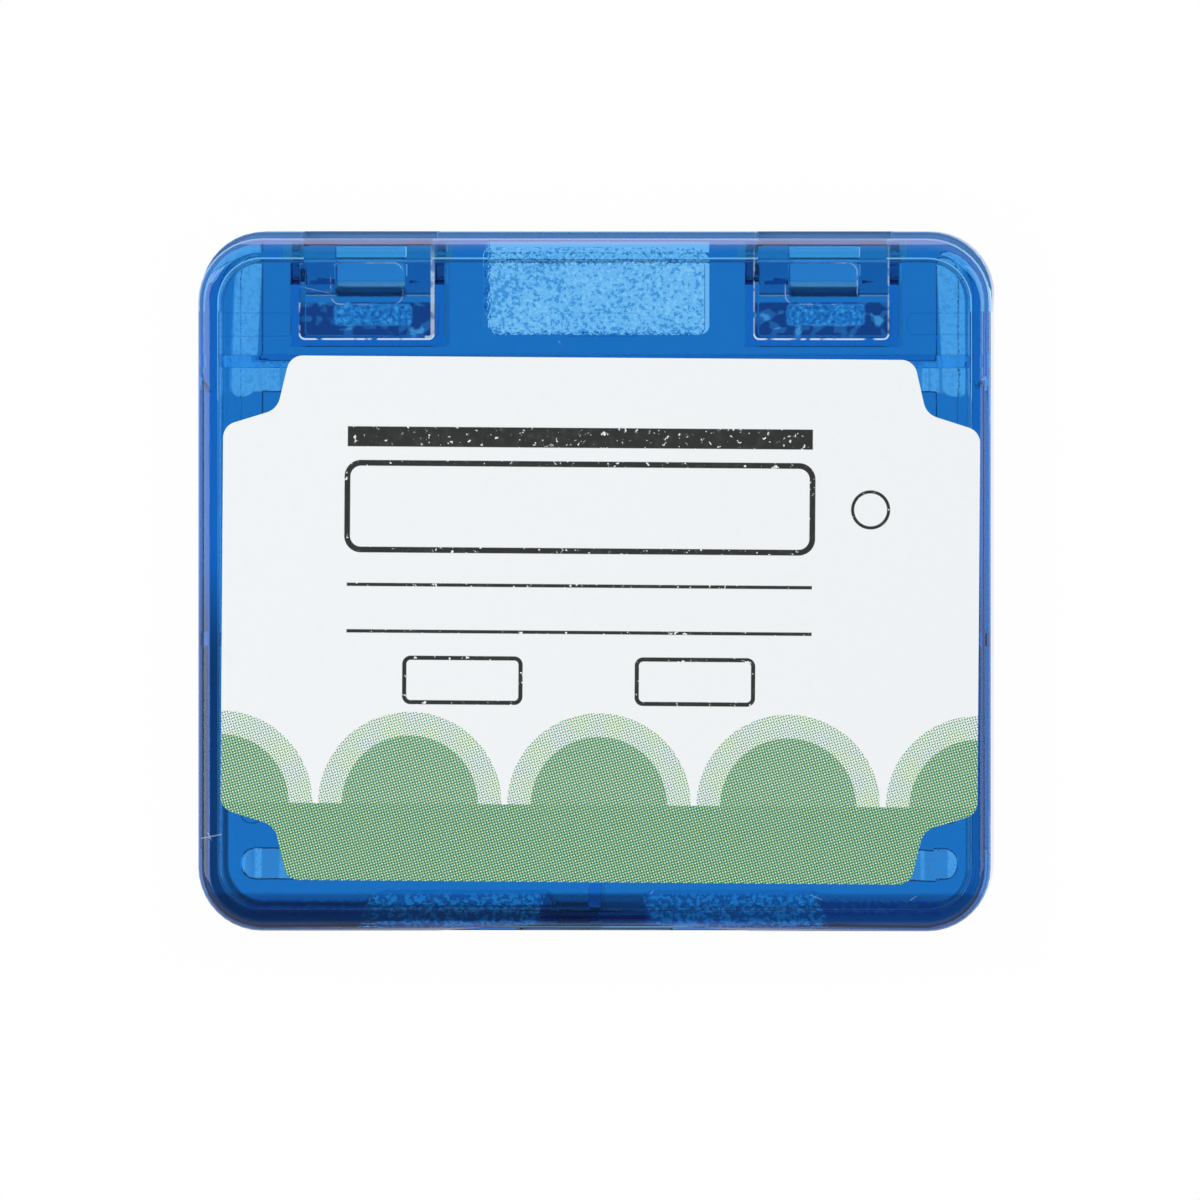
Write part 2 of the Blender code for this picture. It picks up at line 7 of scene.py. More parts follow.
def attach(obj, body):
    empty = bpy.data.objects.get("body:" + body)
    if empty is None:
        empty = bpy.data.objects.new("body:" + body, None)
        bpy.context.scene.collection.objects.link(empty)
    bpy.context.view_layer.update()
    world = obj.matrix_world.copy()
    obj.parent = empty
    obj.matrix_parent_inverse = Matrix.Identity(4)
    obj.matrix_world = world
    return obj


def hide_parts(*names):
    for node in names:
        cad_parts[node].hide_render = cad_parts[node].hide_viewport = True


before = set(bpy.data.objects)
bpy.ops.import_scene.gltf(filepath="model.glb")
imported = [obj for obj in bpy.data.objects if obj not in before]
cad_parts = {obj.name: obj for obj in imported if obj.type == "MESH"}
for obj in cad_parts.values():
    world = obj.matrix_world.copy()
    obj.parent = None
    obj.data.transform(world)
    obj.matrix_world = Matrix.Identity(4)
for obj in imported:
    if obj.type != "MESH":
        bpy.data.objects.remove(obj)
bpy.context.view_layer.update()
mm = 0.001
white = (1.0, 1.0, 1.0, 1.0)
print("frame loaded:", ", ".join(sorted(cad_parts)))


# Shader maths: a wrapped socket that takes + - * / and comparisons, and a graph that makes the nodes

class Wire:
    def __init__(self, graph, socket):
        self.graph = graph
        self.socket = socket

    def maths(self, operation, *others):
        return self.graph.node("ShaderNodeMath", {"operation": operation}, [self, *others])

    def __add__(self, other):
        return self.maths("ADD", other)

    __radd__ = __add__

    def __sub__(self, other):
        return self.maths("SUBTRACT", other)

    def __rsub__(self, other):
        return self.graph.node("ShaderNodeMath", {"operation": "SUBTRACT"}, [other, self])

    def __mul__(self, other):
        return self.maths("MULTIPLY", other)

    def __truediv__(self, other):
        return self.maths("DIVIDE", other)

    def __abs__(self):
        return self.maths("ABSOLUTE")

    def __gt__(self, other):
        return self.maths("GREATER_THAN", other)

    def __lt__(self, other):
        return self.maths("LESS_THAN", other)

    def least(self, other):
        return self.maths("MINIMUM", other)

    def most(self, other):
        return self.maths("MAXIMUM", other)

    def rise(self, low, high, start=0.0, end=1.0):      # start below low, end above high, soft between
        settings = {"interpolation_type": "SMOOTHSTEP"}
        return self.graph.node("ShaderNodeMapRange", settings, {
            "Value": self, "From Min": low, "From Max": high, "To Min": start, "To Max": end})


class Graph:
    def __init__(self, owner, space="Object"):          # the owner is a new material or world
        owner.use_nodes = True
        self.owner = owner
        self.tree = owner.node_tree
        self.tree.nodes.clear()
        self.place = self.node("ShaderNodeTexCoord", {}, {}, out=space)
        self.x, self.y, self.z = self.node("ShaderNodeSeparateXYZ", {}, [self.place], out=("X", "Y", "Z"))

    def node(self, kind, settings, sockets, out=0):
        made = self.tree.nodes.new(kind)
        for key, value in settings.items():
            setattr(made, key, value)
        named = sockets.items() if isinstance(sockets, dict) else enumerate(sockets)
        for key, value in named:
            if isinstance(value, Wire):
                self.tree.links.new(value.socket, made.inputs[key])
            else:
                made.inputs[key].default_value = value
        if out is None:
            return made
        if isinstance(out, tuple):
            return tuple(Wire(self, made.outputs[o]) for o in out)
        return Wire(self, made.outputs[out])

    def noise(self, scale, detail=2.0, stretch=None, rough=0.5):
        where = self.place
        if stretch:
            turn, scaling = stretch
            where = self.node("ShaderNodeMapping", {}, {"Vector": where, "Rotation": turn, "Scale": scaling})
        return self.node("ShaderNodeTexNoise", {}, {
            "Vector": where, "Scale": scale, "Detail": detail, "Roughness": rough})

    def mix(self, factor, first, second):               # colours
        return self.node("ShaderNodeMix", {"data_type": "RGBA"}, {"Factor": factor, 6: first, 7: second}, out=2)

    def level(self):                                    # 1 on faces that lie flat, whichever side they show
        normal = self.node("ShaderNodeNewGeometry", {}, {}, out="Normal")
        return abs(self.node("ShaderNodeSeparateXYZ", {}, [normal], out="Z")) > 0.5

    def bump(self, height, strength, distance):
        return self.node("ShaderNodeBump", {}, {"Strength": strength, "Distance": distance, "Height": height})

    def finish(self, surface, volume=None, end="ShaderNodeOutputMaterial"):
        ends = {"Surface": surface}
        if volume:
            ends["Volume"] = volume
        self.node(end, {}, ends, out=None)
        return self.owner


def rgb(red, green, blue):                              # a screen colour 0 to 255, as the shader's linear colour
    def linear(value):
        value /= 255
        return value / 12.92 if value <= 0.04045 else ((value + 0.055) / 1.055) ** 2.4
    return (linear(red), linear(green), linear(blue), 1.0)


# The imported solids are faceted: each gets a shell of the same form with its arcs smooth, and the base's and the
# label's edges eased

shellLook = {
    "weld": 0.001 * mm,
    "flat": math.radians(0.5),
    "edge": math.radians(30),
    "segments": 2,
    "ease": {"lid": 0.0, "base": 0.10 * mm, "label": 0.02 * mm},
}


def fineShell(node, body, material):
    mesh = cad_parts[node].data.copy()
    mesh.materials.clear()
    mesh.materials.append(material)
    bm = bmesh.new()
    bm.from_mesh(mesh)
    bmesh.ops.remove_doubles(bm, verts=bm.verts, dist=shellLook["weld"])
    bmesh.ops.dissolve_limit(bm, angle_limit=shellLook["flat"], verts=bm.verts, edges=bm.edges)
    bm.to_mesh(mesh)
    bm.free()
    mesh.shade_smooth()
    piece = bpy.data.objects.new(f"{node}_shell", mesh)
    bpy.context.scene.collection.objects.link(piece)
    if shellLook["ease"][node]:
        ease = piece.modifiers.new("eased_edges", "BEVEL")
        ease.limit_method = "ANGLE"
        ease.angle_limit = shellLook["edge"]
        ease.width = shellLook["ease"][node]
        ease.segments = shellLook["segments"]
        ease.use_clamp_overlap = False
    else:
        mesh.set_sharp_from_angle(angle=shellLook["edge"])
    even = piece.modifiers.new("flat_faces_stay_flat", "WEIGHTED_NORMAL")
    even.keep_sharp = True
    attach(piece, body)
    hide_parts(node)
    return piece


# Flat shapes that the materials draw with: width, depth, centre and corner radius

def shape(across, deep, x, y, corner=0.0):
    return (across * mm, deep * mm, (x * mm, y * mm), corner * mm)


def box(u, v, drawn):                                   # distance outside a shape, negative inside it
    across, deep, center, corner = drawn
    dx = abs(u - center[0]) - (across / 2 - corner)
    dy = abs(v - center[1]) - (deep / 2 - corner)
    outside = (dx.most(0.0) * dx.most(0.0) + dy.most(0.0) * dy.most(0.0)).maths("SQRT")
    return outside + dx.most(dy).least(0.0) - corner


def inside(distance, soft=0.04 * mm):
    return 1 - distance.rise(-soft, soft)


def along(distance, width, soft=0.04 * mm):             # a line of this width on the shape's outline
    return 1 - (abs(distance) - width / 2).rise(-soft, soft)


def mark(g, center, turn, length, width):               # one scratch
    right, back = g.x - center[0] * mm, g.y - center[1] * mm
    u = right * math.cos(turn) + back * math.sin(turn)
    v = back * math.cos(turn) - right * math.sin(turn)
    return inside(box(u, v, shape(length, width, 0.0, 0.0)), 0.05 * mm)


def above(field, setting):                              # a share of 1 where the field is high
    low, high, share = setting
    return field.rise(low, high) * share


def below(field, setting):                              # a share of 1 where the field is low
    low, high, share = setting
    return (1 - field.rise(low, high)) * share


def patches(g, setting, detail=1.0):                    # 1 in the patches where a noise is high
    scale, low, high = setting
    return g.noise(scale, detail).rise(low, high)


# Clear blue plastic: what a ray loses in a metre of it, what it loses at each surface, and its texture.
# A setting for above() or below() is where a field starts and ends to count, and its share.
# A setting for patches() is a noise's scale, and where the noise starts and ends to count.

plasticLook = {
    "loss": (60.0, 18.0, 2.0),
    "ior": 1.5,
    "pebbleScale": 2300.0,
    "pebbleRough": 0.6,
    "bumpDistance": 0.1 * mm,
    # short hairlines in three directions: turn and noise scale of each
    "hairs": ((0.5, 60), (-0.7, 45), (1.3, 52)),
    "hairStretch": (40, 2.5, 1),
    "hairAt": (0.74, 0.78),
    "hairPatches": (70.0, 0.50, 0.64),
    "hairShare": 0.35,
}
lidLook = {
    "tint": (0.159, 0.510, 0.941, 1.0),
    "topAbove": 15.2 * mm,
    "driftScale": 190.0,
    "drift": 0.20,
    "waveScale": 140.0,
    "wave": 0.25,
    "bump": 0.3,

    # the window over the well's opening, pebbled below, with painted shade and painted highlights on its pebbles,
    # and the plates' outlines drawn in painted shade
    "window": shape(20.9, 8.3, 0.0, 27.45, 0.8),
    "skirtFrom": 29.9 * mm,
    "windowScale": 3000.0,
    "windowLean": 0.9,
    "paintedShadeAndScratch": (0.010, 0.18, 0.55, 1.0),
    "pebbleHighlight": (0.42, 0.80, 1.0, 1.0),
    "shadedPebbles": (0.55, 0.59, 0.95),
    "highlitPebbles": (0.38, 0.42, 0.7),
    "plates": (shape(7.4, 2.2, 0.65, 24.3, 0.6), shape(7.4, 2.2, -32.4, 24.3, 0.6),
               shape(7.0, 2.0, 33.1, 24.4, 0.6)),
    "plateLine": 0.07 * mm,
    "plateShare": 0.8,

    # hinge arms, with a core in the middle and a pin at each end
    "armX": 21.5 * mm,
    "armHalf": 8 * mm,
    "armFrom": 23 * mm,
    "armBelow": 12 * mm,
    "armTint": (0.70, 0.78, 0.82, 1.0),
    "coreHalf": 3.35 * mm,
    "coreFloorBelow": 5 * mm,
    "coreTint": (0.03, 0.27, 0.60, 1.0),
    "noseBefore": 28.35 * mm,
    "noseFootBelow": 4.2 * mm,
    "noseTint": white,
    "noseColor": (0.30, 0.82, 1.0, 1.0),
    "noseHaze": 0.35,
    "pinFrom": 6.2 * mm,
    "pinHaze": 0.3,

    # the rear rim, and the pale lines, which are painted glints along the pocket's and the lens's edges
    "rimBehind": 31.9 * mm,
    "rimAbove": 14.2 * mm,
    "rimColor": (0.42, 0.46, 0.84, 1.0),
    "rimHaze": 0.5,
    "glintAndScratchColor": (0.75, 0.88, 1.0, 1.0),
    "lens": shape(6.8, 3.9, 21.5, 28.2, 0.9),
    "lensLine": 0.09 * mm,
    "lensBreaks": (380.0, 0.42, 0.58),
    "lensShare": 0.32,
    "pocket": shape(12.7, 12.0, 21.5, 28.95, 0.5),
    "pocketLine": 0.15 * mm,
    "pocketFoot": (23.3 * mm, 23.6 * mm, 0.45),
    "pocketShare": 0.35,
    "wideBetween": (-16 * mm, -14.7 * mm),
    "wideLine": (0.12 * mm, 0.36 * mm),                 # how far in, how wide
    "wideShare": (0.20, 0.30),                          # everywhere, and more where the line isn't broken
    "fadedCorner": (-27 * mm, 26.4 * mm),
    "lineBreaks": (900.0, 0.36, 0.52),
    "lineFade": (29 * mm, 32.4 * mm),

    # centre, turn, length and width in mm of single scratches: pale ones, then dark ones
    "pale": (((-36.2, -24.1), 0.2, 2.0, 0.10), ((-36.3, -24.3), 2.0, 1.3, 0.10), ((5.6, -29.2), 0.9, 0.8, 0.05),
             ((-26.4, 27.6), -0.22, 3.0, 0.04), ((30.2, -29.9), 0.6, 0.7, 0.05), ((21.0, -29.8), -0.4, 1.2, 0.04),
             ((-3.1, 22.4), -1.0, 0.9, 0.06)),
    "dark": (((-6.9, 30.2), -1.0, 1.4, 0.14), ((-6.0, 30.6), -0.7, 1.1, 0.10), ((-3.9, 30.5), 0.3, 1.2, 0.10)),
    "paleShare": 0.32,
    "darkShare": 0.7,

    # the front edge, darkened with painted shade, worn, and frosted where the fingers press, with painted
    # highlights on the pads' pebbles
    "frontFrom": (-29.75 * mm, -29.25 * mm),
    "frontShare": 0.9,
    "frontShade": (0.045, 0.125, 0.27, 1.0),
    "middleHalf": (4.6 * mm, 5.4 * mm, 0.9),
    "frontMiddleShade": (0.018, 0.050, 0.13, 1.0),
    "purple": shape(12.0, 1.7, 27.0, -30.8, 0.8),
    "purpleSoft": 0.3 * mm,
    "purpleSpeckles": (0.42, 0.5),
    "frontPurpleShade": (0.035, 0.06, 0.30, 1.0),
    "pads": shape(16.6, 3.4, 13.4, -31.0, 0.1),
    "padSlant": 0.35,
    "padSoft": 0.1 * mm,
    "padPebbles": (0.48, 0.56, 0.95),
    "padRough": 0.12,
    "padHeight": 1.5,
    "hairRough": 0.3,
    "hairHeight": -0.5,
}
baseLook = {
    "tint": (0.066, 0.368, 0.645, 1.0),
    "floorTop": 2.0 * mm,
    "floorFoot": 1.2 * mm,
    "bump": 0.4,

    # shallow grooves under the floor, where the plastic is thinner and paler
    "sideStrip": shape(2.5, 13.6, 33.6, 24.2, 1.1),
    "stripTaper": 0.05,
    "bands": (shape(66.1, 2.9, 0.0, 19.3, 0.1), shape(68.0, 2.9, 0.0, -27.0, 1.3)),
    "grooveSoft": 0.12 * mm,
    "barStretch": (900, 12, 1),
    "bars": (0.44, 0.54, 0.65),
    "betweenBars": 0.35,
    "slowScale": 420.0,
    "slow": (0.86, 0.28),
    "thinTint": (0.50, 0.80, 0.96, 1.0),
    "thinSpeckles": (0.54, 0.62, 0.45),
    "thinRough": 0.08,

    # the pockets' floors
    "pocketX": 21.5 * mm,
    "pocketFoot": shape(12.8, 3.2, 21.5, 24.7, 0.3),
    "pocketSoft": 0.1 * mm,
    "relief": shape(7.4, 2.0, 21.5, 25.1, 0.4),
    "reliefLine": 0.12 * mm,
    "reliefLineShare": 0.6,
    "reliefRough": 0.10,
    "footDark": (0.03, 0.11, 0.28, 1.0),
    "footLight": (0.45, 0.80, 0.95, 1.0),
    "endPatches": (700.0, 0.56, 0.64),
    "endShare": 0.7,
    "reliefLight": (0.52, 0.58, 0.7),
    "reliefDark": (0.40, 0.46, 0.7),
    "heights": (0.5, 2.0, 3.0),                         # of the pebbles under the floor, in grooves and in reliefs

    # pin bores: reach across, ends from the pocket's middle, and axis
    "bore": (1.7 * mm, (6.3 * mm, 7.5 * mm), (29.45 * mm, 6.5 * mm)),
    "boreTint": white,

    # haze of the outer edges, and how deep it is drawn
    "outline": shape(75.0, 66.1, 0.0, 0.0, 6.0),
    "skin": 0.8 * mm,
    "skinSoft": 0.1 * mm,
    "rearHaze": (25 * mm, 29 * mm),
    "frontHazeBefore": -31 * mm,
    "frontHazeFrom": 14.5 * mm,
    "frontHaze": 0.5,
    "haze": 0.5,
    "hazeColor": (0.20, 0.38, 0.82, 1.0),
}


def tinted(g):
    red, green, blue = plasticLook["loss"]
    return g.node("ShaderNodeVolumeAbsorption", {}, {
        "Color": (0.0, 1 - green / red, 1 - blue / red, 1.0), "Density": red})


def pebbles(g, scale):
    return g.noise(scale, 2.0, None, plasticLook["pebbleRough"])


def scratches(g):
    total = None
    for turn, where in plasticLook["hairs"]:
        line = g.noise(where, 1.0, ((0, 0, turn), plasticLook["hairStretch"]), 0.3).rise(*plasticLook["hairAt"])
        total = line if total is None else total + line
    return (total * patches(g, plasticLook["hairPatches"], 2.0) * plasticLook["hairShare"]).least(1.0)


def glass(g, color, roughness, normal):
    return g.node("ShaderNodeBsdfPrincipled", {}, {
        "Base Color": color, "Roughness": roughness, "IOR": plasticLook["ior"],
        "Transmission Weight": 1.0, "Normal": normal})


def milk(g, color):
    return g.node("ShaderNodeBsdfDiffuse", {}, {"Color": color})


def lidPlastic():
    g = Graph(bpy.data.materials.new("lid_plastic"))
    look = lidLook
    level = g.level()
    top = level * (g.z > look["topAbove"])
    under = level * (1 - top) * (g.z > look["armBelow"])
    speckle = pebbles(g, plasticLook["pebbleScale"])
    drift = (g.noise(look["driftScale"], 1.0) - 0.5) * look["drift"]
    side = abs(g.x)
    hinge = abs(side - look["armX"])

    window = inside(box(g.x, g.y, look["window"])) * under.most(top * (g.y > look["skirtFrom"]))
    # painted shade and painted highlights on the window's pebbles, then painted shade along the plates' outlines
    thick = pebbles(g, look["windowScale"]) + drift - g.x * look["windowLean"]
    color = g.mix(window * above(thick, look["shadedPebbles"]), look["tint"], look["paintedShadeAndScratch"])
    color = g.mix(window * below(thick, look["highlitPebbles"]), color, look["pebbleHighlight"])
    for drawn in look["plates"]:
        plate = along(box(g.x, g.y, drawn), look["plateLine"])
        color = g.mix(plate * under * look["plateShare"], color, look["paintedShadeAndScratch"])

    arm = (g.z < look["armBelow"]) * (hinge < look["armHalf"]) * (g.y > look["armFrom"])
    color = g.mix(arm, color, look["armTint"])
    inCore = arm * (hinge < look["coreHalf"])
    color = g.mix(inCore * level * (g.z < look["coreFloorBelow"]), color, look["coreTint"])

    # painted shade over the front edge, darkest in the middle and in a purple speckled patch, and painted
    # highlights on the pads' pebbles
    front = (1 - g.y.rise(*look["frontFrom"])) * top
    slant = side + (g.y - look["pads"][2][1]) * look["padSlant"]
    pads = inside(box(slant, g.y, look["pads"]), look["padSoft"]) * front
    color = g.mix(front * look["frontShare"], color, look["frontShade"])
    color = g.mix(front * below(side, look["middleHalf"]), color, look["frontMiddleShade"])
    purple = front * inside(box(side, g.y, look["purple"]), look["purpleSoft"])
    color = g.mix(purple * speckle.rise(*look["purpleSpeckles"]), color, look["frontPurpleShade"])
    color = g.mix(pads * above(speckle + drift, look["padPebbles"]), color, look["pebbleHighlight"])
    for center, turn, length, width in look["dark"]:
        color = g.mix(mark(g, center, turn, length, width) * top * look["darkShare"], color, look["paintedShadeAndScratch"])

    # pale lines round the pocket and the lens, which are painted glints, and pale scratches
    broken = patches(g, look["lineBreaks"])
    pocket = box(side, g.y, look["pocket"])
    faded = (g.x < look["fadedCorner"][0]) * (g.y > look["fadedCorner"][1])
    wide = (g.x > look["wideBetween"][0]) * (g.x < look["wideBetween"][1])
    inset, width = look["wideLine"]
    share, more = look["wideShare"]
    pale = along(pocket, look["pocketLine"]) * (look["pocketShare"] + below(g.y, look["pocketFoot"]))
    pale = pale * broken * (1 - faded)
    pale = pale.most(along(pocket + inset, width) * wide * (share + broken * more))
    lensLine = along(box(side, g.y, look["lens"]), look["lensLine"]) * broken
    pale = pale.most(lensLine * patches(g, look["lensBreaks"]) * look["lensShare"])
    pale = pale * (1 - g.y.rise(*look["lineFade"]))
    for center, turn, length, width in look["pale"]:
        pale = pale.most(mark(g, center, turn, length, width) * look["paleShare"] * broken)
    pale = pale * top

    # the arms' noses and pins, cut by the mould, are hazy
    nose = inCore * (g.y < look["noseBefore"]) * (1 - level * (g.z < look["noseFootBelow"]))
    color = g.mix(nose, color, look["noseTint"])
    haze = (nose * look["noseHaze"]).most(arm * (hinge > look["pinFrom"]) * look["pinHaze"])
    rearRim = (g.y > look["rimBehind"]) * (g.z > look["rimAbove"])

    hair = scratches(g)
    height = speckle * (window + pads * look["padHeight"]) + g.noise(look["waveScale"], 1.0) * look["wave"]
    normal = g.bump(height + hair * look["hairHeight"], look["bump"], plasticLook["bumpDistance"])
    clear = glass(g, color, (hair * look["hairRough"] + pads * look["padRough"]).least(0.5), normal)
    # the milky share's colour: painted glints and pale scratches, or the noses' haze
    paint = g.mix(haze > 0.01, look["glintAndScratchColor"], look["noseColor"])
    milky = milk(g, g.mix(rearRim, paint, look["rimColor"]))
    share = pale.most(haze).most(rearRim * look["rimHaze"]).least(1.0)
    return g.finish(g.node("ShaderNodeMixShader", {}, [share, clear, milky]), tinted(g))


def basePlastic():
    g = Graph(bpy.data.materials.new("base_plastic"))
    look = baseLook
    side = abs(g.x)
    level = g.level() * (g.z < look["floorTop"])
    under = level * (g.z < look["floorFoot"])
    speckle = pebbles(g, plasticLook["pebbleScale"])

    strip = look["sideStrip"]
    bent = side + (g.y - strip[2][1]) * look["stripTaper"]
    thin = inside(box(bent, g.y, strip), look["grooveSoft"])
    bars = above(g.noise(1.0, 1.0, ((0, 0, 0), look["barStretch"])), look["bars"]) + look["betweenBars"]
    for band in look["bands"]:
        thin = thin.most(inside(box(g.x, g.y, band), look["grooveSoft"]) * bars)
    least, more = look["slow"]
    thin = thin * g.level() * (least + g.noise(look["slowScale"], 1.0) * more).least(1.0)
    color = g.mix(thin, look["tint"], look["thinTint"])
    color = g.mix(thin * above(speckle, look["thinSpeckles"]), color, look["tint"])

    # pocket floors: a textured shallow recess between darker ends
    foot = inside(box(side, g.y, look["pocketFoot"]), look["pocketSoft"]) * level
    reliefEdge = box(side, g.y, look["relief"])
    relief = foot * inside(reliefEdge)
    ends = foot * (1 - inside(reliefEdge))
    color = g.mix(ends, color, look["footDark"])
    color = g.mix(ends * patches(g, look["endPatches"]) * look["endShare"], color, look["footLight"])
    color = g.mix(relief * above(speckle, look["reliefLight"]), color, look["footLight"])
    color = g.mix(relief * below(speckle, look["reliefDark"]), color, look["footDark"])
    outline = along(reliefEdge, look["reliefLine"]) * foot
    color = g.mix(outline * look["reliefLineShare"], color, look["footLight"])

    # the pin bores' walls take no colour of their own, so that they don't show as dark squares
    reach, span, axis = look["bore"]
    fromMiddle = abs(side - look["pocketX"])
    bore = (abs(g.y - axis[0]) < reach) * (abs(g.z - axis[1]) < reach)
    bore = bore * (fromMiddle > span[0]) * (fromMiddle < span[1])
    color = g.mix(bore, color, look["boreTint"])

    flat, groove, pocket = look["heights"]
    height = speckle * (under * flat + thin * groove + relief * pocket)
    normal = g.bump(height, look["bump"], plasticLook["bumpDistance"])
    roughness = (thin * look["thinRough"]).most(relief * look["reliefRough"])
    skin = (box(g.x, g.y, look["outline"]) + look["skin"]).rise(0.0, look["skinSoft"])
    front = (g.y < look["frontHazeBefore"]) * (side > look["frontHazeFrom"]) * look["frontHaze"]
    haze = skin * g.y.rise(*look["rearHaze"]).most(front) * look["haze"]
    shaders = [haze, glass(g, color, roughness, normal), milk(g, look["hazeColor"])]
    return g.finish(g.node("ShaderNodeMixShader", {}, shaders), tinted(g))


# Printed label: blank boxes and rules to write in, and a scalloped green foot laid down as a dot screen

labelLook = {
    "center": (0.6 * mm, -3.6 * mm),
    "turn": math.radians(0.4),
    "paper": rgb(246, 249, 251),
    "cyan": rgb(44, 150, 150),
    "yellow": rgb(180, 214, 112),
    "overlap": rgb(22, 118, 72),
    "ink": rgb(42, 44, 44),
    "fibre": rgb(206, 210, 208),
    "printedAbove": 16.25 * mm,
    "roughness": 0.45,
    "ior": 1.45,

    # the green foot, and the share of the paper that each ink covers in it
    "stripTop": -17.5 * mm,
    "scallop": 17.9 * mm,
    "rimReach": 0.485,
    "coreReach": 0.36,
    "soft": 0.03 * mm,
    "rimCover": 0.30,
    "coreCover": 0.26,
    "stripCover": 0.60,
    "screen": 0.254 * mm,
    "screenTurns": (math.radians(15), math.radians(45)),
    "dotSoft": 0.12,
    "dotGain": 1.6,

    # black ink: shapes that are filled, then outlines with their line widths
    "filled": (shape(44.0, 1.9, -2.0, 17.2), shape(44.0, 0.32, -2.0, 3.2), shape(44.0, 0.32, -2.0, -1.2)),
    "outlined": ((shape(44.0, 8.2, -2.0, 10.6, 1.3), 0.55 * mm), (shape(11.0, 4.2, -13.0, -5.8, 0.6), 0.4 * mm),
                 (shape(11.0, 4.2, 9.0, -5.8, 0.6), 0.4 * mm), (shape(3.4, 3.4, 25.5, 10.6, 1.69), 0.3 * mm)),
    "wear": (2600.0, 0.28, 0.36),
    "fibreScale": 1200.0,
    "fibres": (0.45, 0.9, 0.05),
    "bump": 0.15,
    "bumpDistance": 0.05 * mm,
}


def labelPaper():
    g = Graph(bpy.data.materials.new("label_paper"))
    look = labelLook
    soft = look["soft"]
    cosine, sine = math.cos(look["turn"]), math.sin(look["turn"])
    right, back = g.x - look["center"][0], g.y - look["center"][1]
    u = right * cosine - back * sine
    v = right * sine + back * cosine

    # a plain strip with a row of scallops standing on it, each with a paler rim
    pitch = look["scallop"]
    cell = (u / pitch).maths("FRACT") - 0.5
    cell = (cell + 1.0).maths("FRACT") - 0.5
    raised = v - look["stripTop"]
    reach = ((cell * pitch) * (cell * pitch) + raised * raised).maths("SQRT")
    strip = 1 - raised.rise(-soft, soft)
    rim = (1 - (reach - pitch * look["rimReach"]).rise(-soft, soft)) * (1 - strip)
    core = (1 - (reach - pitch * look["coreReach"]).rise(-soft, soft)) * (1 - strip)
    cover = rim * look["rimCover"] + core * look["coreCover"] + strip * look["stripCover"]

    def dots(turn):
        c, s = math.cos(turn), math.sin(turn)
        k = 2 * math.pi / look["screen"]
        wave = ((u * c + v * s) * k).maths("COSINE") + ((v * c - u * s) * k).maths("COSINE")
        level = (0.5 - cover) * look["dotGain"]
        return (wave * 0.5 - level).rise(-look["dotSoft"], look["dotSoft"]) * (rim + strip).least(1.0)

    cyan, yellow = [dots(turn) for turn in look["screenTurns"]]
    color = g.mix(cyan, look["paper"], look["cyan"])
    color = g.mix(yellow * (1 - cyan), color, look["yellow"])
    color = g.mix(yellow * cyan, color, look["overlap"])

    inks = [inside(box(u, v, drawn)) for drawn in look["filled"]]
    inks += [along(box(u, v, drawn), width) for drawn, width in look["outlined"]]
    ink = inks[0]
    for more in inks[1:]:
        ink = ink.most(more)
    color = g.mix(ink * patches(g, look["wear"], 2.0), color, look["ink"])
    color = g.mix(g.z > look["printedAbove"], look["paper"], color)     # its back and edge are plain

    fibre = g.noise(look["fibreScale"], 3.0)
    color = g.mix(above(fibre, look["fibres"]), color, look["fibre"])
    return g.finish(g.node("ShaderNodeBsdfPrincipled", {}, {
        "Base Color": color, "Roughness": look["roughness"], "IOR": look["ior"],
        "Normal": g.bump(fibre, look["bump"], look["bumpDistance"])}))


fineShell("lid", "lid", lidPlastic())
fineShell("base", "base", basePlastic())
fineShell("label", "lid", labelPaper())
print("shells made and dressed")


# Floor, light and camera

stageLook = {
    "floorSize": 6.0,
    "floorDrop": 0.05 * mm,
    "paper": (0.86, 0.87, 0.88, 1.0),
    "backLight": 0.98,
    "shadowReach": shape(87.0, 78.0, 0.0, 0.0, 4.0),    # beyond it the paper is plain white to the camera
    "shadowSoft": 4 * mm,
    "glowCenter": 0.10,                                 # behind the case
    "glow": (0.15, 0.24),                               # full as far as this from there, faded by that
    "farGlow": 0.08,

    # under the front parts of the side walls the floor glows less
    "underWalls": shape(71.6, 63.0, 0.0, 0.6, 4.0),
    "underWallsSoft": 0.3 * mm,
    "shadeLeft": 0.70,
    "shadeRight": 0.42,
    "shadeEnds": (-8 * mm, 4 * mm),
}
skyLook = {
    "overhead": (0.55, 0.97, 0.90, 0.10),               # heights, and the sky's strength below and above them
    "through": (-0.2, 0.7, 0.14, 0.85),                 # front to rear, as it is seen through the plastic
}
lampLook = {
    "left_softbox": ((-0.7, 0.1, 0.6), 4.0),
    "right_softbox": ((0.7, 0.2, 0.6), 2.2),
    "size": (0.6, 0.8),
}
cameraLook = {
    "place": (0.119, 0.0567, 3.4),
    "aim": (0.00052, -0.00174, 0.0145),
    "field": 113.5 * mm,
    "sensorMm": 36.0,
    "clipFrom": 0.01,
}


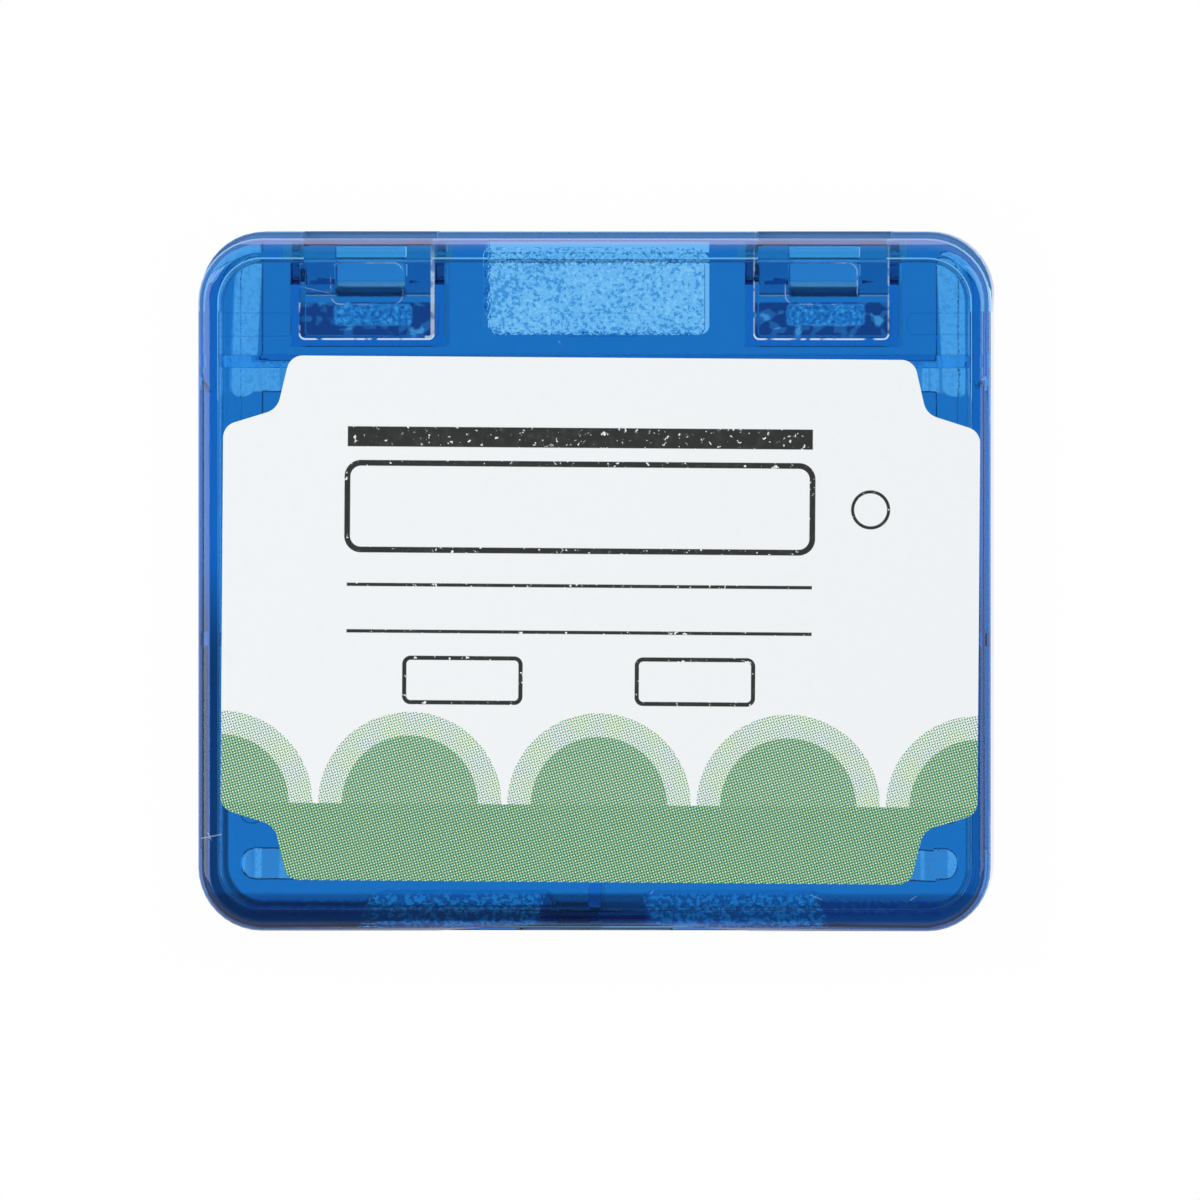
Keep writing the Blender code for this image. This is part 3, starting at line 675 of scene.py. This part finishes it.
def makeFloor():
    look = stageLook
    bpy.ops.mesh.primitive_plane_add(size=look["floorSize"], location=(0, 0, -look["floorDrop"]))
    floor = bpy.context.active_object
    floor.name = "floor"
    g = Graph(bpy.data.materials.new("floor_paper"))
    camera, glossy, through = g.node("ShaderNodeLightPath", {}, {},
                                     out=("Is Camera Ray", "Is Glossy Ray", "Is Transmission Ray"))
    back = g.y - look["glowCenter"]
    near = 1 - (g.x * g.x + back * back).maths("SQRT").rise(*look["glow"])
    level = near * (1 - look["farGlow"]) + look["farGlow"]
    walls = 1 - inside(box(g.x, g.y, look["underWalls"]), look["underWallsSoft"])
    left = g.x < 0.0
    share = left * look["shadeLeft"] + (1 - left) * look["shadeRight"]
    level = level * (1 - walls * share * (1 - g.y.rise(*look["shadeEnds"])))
    seen = camera.most(level * through).most(glossy * (1 - through))
    glow = g.node("ShaderNodeEmission", {}, {"Color": white, "Strength": seen})
    shadow = inside(box(g.x, g.y, look["shadowReach"]), look["shadowSoft"]) * (1 - look["backLight"])
    share = (camera * (1 - shadow) + glossy * (1 - camera)).least(1.0)
    floor.data.materials.append(g.finish(g.node("ShaderNodeMixShader", {}, [share, milk(g, look["paper"]), glow])))


def makeSky():
    world = bpy.data.worlds.new("studio")
    bpy.context.scene.world = world
    g = Graph(world, "Generated")
    overhead = g.z.rise(*skyLook["overhead"])
    front, rear, least, most = skyLook["through"]
    share = g.node("ShaderNodeMapRange", {}, {
        "Value": g.y, "From Min": front, "From Max": rear, "To Min": least, "To Max": most})
    camera, through, bounces = g.node("ShaderNodeLightPath", {}, {},
                                      out=("Is Camera Ray", "Is Transmission Ray", "Diffuse Depth"))
    straight = through * (bounces < 0.5)                # through plastic, and met no paper on its way
    dim = g.node("ShaderNodeMapRange", {}, {"Value": straight, "To Min": 1.0, "To Max": share})
    strength = camera.most(overhead * dim)
    g.finish(g.node("ShaderNodeBackground", {}, {"Color": white, "Strength": strength}),
             end="ShaderNodeOutputWorld")


def softBox(name):
    place, power = lampLook[name]
    lamp = bpy.data.lights.new(name, "AREA")
    lamp.shape = "RECTANGLE"
    lamp.size, lamp.size_y = lampLook["size"]
    lamp.energy = power
    holder = bpy.data.objects.new(name, lamp)
    bpy.context.scene.collection.objects.link(holder)
    holder.location = place
    holder.rotation_euler = (-Vector(place)).to_track_quat("-Z", "Y").to_euler()


def makeCamera():
    look = cameraLook
    place, aim = Vector(look["place"]), Vector(look["aim"])
    lens = bpy.data.cameras.new("camera")
    lens.sensor_fit = "HORIZONTAL"
    lens.sensor_width = look["sensorMm"]
    lens.lens = look["sensorMm"] * (place - aim).length / look["field"]
    lens.clip_start = look["clipFrom"]
    camera = bpy.data.objects.new("camera", lens)
    bpy.context.scene.collection.objects.link(camera)
    ahead = (aim - place).normalized()
    right = ahead.cross(Vector((0, 1, 0))).normalized()     # the hinge side stays at the top of the frame
    up = right.cross(ahead)
    camera.matrix_world = Matrix((right, up, -ahead)).transposed().to_4x4()
    camera.location = place
    bpy.context.scene.camera = camera


makeFloor()
makeSky()
softBox("left_softbox")
softBox("right_softbox")
makeCamera()
bpy.context.scene.view_settings.view_transform = "Standard"
print("stage, light and camera ready")
